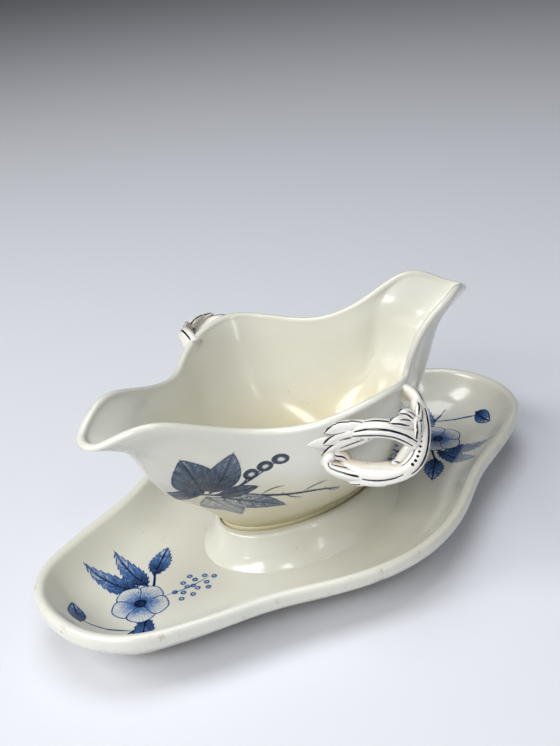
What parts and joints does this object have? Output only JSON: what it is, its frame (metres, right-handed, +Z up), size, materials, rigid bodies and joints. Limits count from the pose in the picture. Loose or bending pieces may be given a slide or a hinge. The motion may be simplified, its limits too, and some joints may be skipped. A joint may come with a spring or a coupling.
{
  "type": "gravy boat",
  "caption": "Two-lipped earthenware gravy boat with looped branch handles, standing on a long scalloped stand with a raised oval seat.",
  "frame": {"origin": "centre of the stand's foot, on the table", "axes": "+X along the stand, +Y across it, +Z up"},
  "size_m": [0.259, 0.1538, 0.0967],
  "materials": {
    "cream_glaze": "glossy cream glaze with under-glaze blue print",
    "handle_glaze": "glossy white glaze with painted black lines",
    "biscuit": "unglazed fired clay, matt"
  },
  "bodies": {
    "stand": {"stand_dish": "cream_glaze", "stand_pedestal": "cream_glaze", "stand_foot_ring": "biscuit"},
    "boat": {"boat_bowl": "cream_glaze", "boat_foot_ring": "biscuit", "front_upper_branch": "handle_glaze", "front_beaded_branch": "handle_glaze", "front_rim_strap": "handle_glaze", "front_leaf": "handle_glaze", "front_scroll": "handle_glaze", "front_curl": "handle_glaze", "front_knot": "handle_glaze", "rear_upper_branch": "handle_glaze", "rear_beaded_branch": "handle_glaze", "rear_rim_strap": "handle_glaze", "rear_leaf": "handle_glaze", "rear_scroll": "handle_glaze", "rear_curl": "handle_glaze", "rear_knot": "handle_glaze"}
  },
  "joints": [
    {"name": "boat_lift", "type": "slide", "parent": "stand", "child": "boat", "axis": [0, 0, 1], "range_m": [0, 0.08]}
  ]
}
